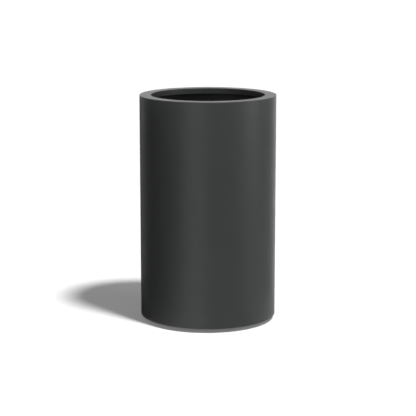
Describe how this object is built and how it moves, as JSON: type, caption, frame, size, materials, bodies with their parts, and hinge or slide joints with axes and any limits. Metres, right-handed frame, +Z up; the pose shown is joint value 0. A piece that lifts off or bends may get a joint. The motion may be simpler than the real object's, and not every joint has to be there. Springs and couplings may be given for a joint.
{
  "type": "planter",
  "caption": "Tall round metal floor planter with a flat rim, a lift-out planting floor on an inner ledge, a drained base and screw-down levelling feet.",
  "frame": {"origin": "on the floor, on the planter's axis, with the feet wound in", "axes": "+Z up along the planter's axis, -Y towards the front, with the shell's seam at +Y"},
  "size_m": [0.5999, 0.6, 1],
  "materials": {
    "powder_coat": "matte",
    "coated_weld": "matte",
    "zinc_steel": "satin",
    "rubber": "matte"
  },
  "bodies": {
    "planter": {"outer_shell": "powder_coat", "rim_flange": "powder_coat", "rim_return": "powder_coat", "base_plate": "powder_coat", "base_channel_left": "powder_coat", "base_channel_right": "powder_coat", "foot_bosses": "powder_coat", "ledge_ring": "powder_coat", "ledge_gussets": "powder_coat", "seam_weld": "coated_weld", "rim_weld": "coated_weld", "base_weld": "coated_weld", "ledge_weld": "coated_weld", "foot_lock_nuts": "zinc_steel"},
    "planting_floor": {"floor_disc": "powder_coat", "floor_locating_ring": "powder_coat"},
    "foot_front_left": {"foot_pad_front_left": "zinc_steel", "foot_sole_front_left": "rubber"},
    "foot_front_left_stud": {"foot_stud_front_left": "zinc_steel"},
    "foot_front_right": {"foot_pad_front_right": "zinc_steel", "foot_sole_front_right": "rubber"},
    "foot_front_right_stud": {"foot_stud_front_right": "zinc_steel"},
    "foot_back_left": {"foot_pad_back_left": "zinc_steel", "foot_sole_back_left": "rubber"},
    "foot_back_left_stud": {"foot_stud_back_left": "zinc_steel"},
    "foot_back_right": {"foot_pad_back_right": "zinc_steel", "foot_sole_back_right": "rubber"},
    "foot_back_right_stud": {"foot_stud_back_right": "zinc_steel"}
  },
  "joints": [
    {"name": "floor_lift", "type": "slide", "parent": "planter", "child": "planting_floor", "axis": [0, 0, 1], "range_m": [0, 0.48]},
    {"name": "foot_front_left_extend", "type": "slide", "parent": "planter", "child": "foot_front_left", "axis": [0, 0, -1], "range_m": [0, 0.01]},
    {"name": "foot_front_left_turn", "type": "hinge", "parent": "foot_front_left", "child": "foot_front_left_stud", "pos_m": [-0.145, -0.145, 0.02], "axis": [0, 0, -1], "range_deg": [0, 2400]},
    {"name": "foot_front_right_extend", "type": "slide", "parent": "planter", "child": "foot_front_right", "axis": [0, 0, -1], "range_m": [0, 0.01]},
    {"name": "foot_front_right_turn", "type": "hinge", "parent": "foot_front_right", "child": "foot_front_right_stud", "pos_m": [0.145, -0.145, 0.02], "axis": [0, 0, -1], "range_deg": [0, 2400]},
    {"name": "foot_back_left_extend", "type": "slide", "parent": "planter", "child": "foot_back_left", "axis": [0, 0, -1], "range_m": [0, 0.01]},
    {"name": "foot_back_left_turn", "type": "hinge", "parent": "foot_back_left", "child": "foot_back_left_stud", "pos_m": [-0.145, 0.145, 0.02], "axis": [0, 0, -1], "range_deg": [0, 2400]},
    {"name": "foot_back_right_extend", "type": "slide", "parent": "planter", "child": "foot_back_right", "axis": [0, 0, -1], "range_m": [0, 0.01]},
    {"name": "foot_back_right_turn", "type": "hinge", "parent": "foot_back_right", "child": "foot_back_right_stud", "pos_m": [0.145, 0.145, 0.02], "axis": [0, 0, -1], "range_deg": [0, 2400]}
  ],
  "couplings": [
    {"joint": "foot_front_left_extend", "follows": "foot_front_left_turn", "m_per_rad": 0.00023873},
    {"joint": "foot_front_right_extend", "follows": "foot_front_right_turn", "m_per_rad": 0.00023873},
    {"joint": "foot_back_left_extend", "follows": "foot_back_left_turn", "m_per_rad": 0.00023873},
    {"joint": "foot_back_right_extend", "follows": "foot_back_right_turn", "m_per_rad": 0.00023873}
  ]
}
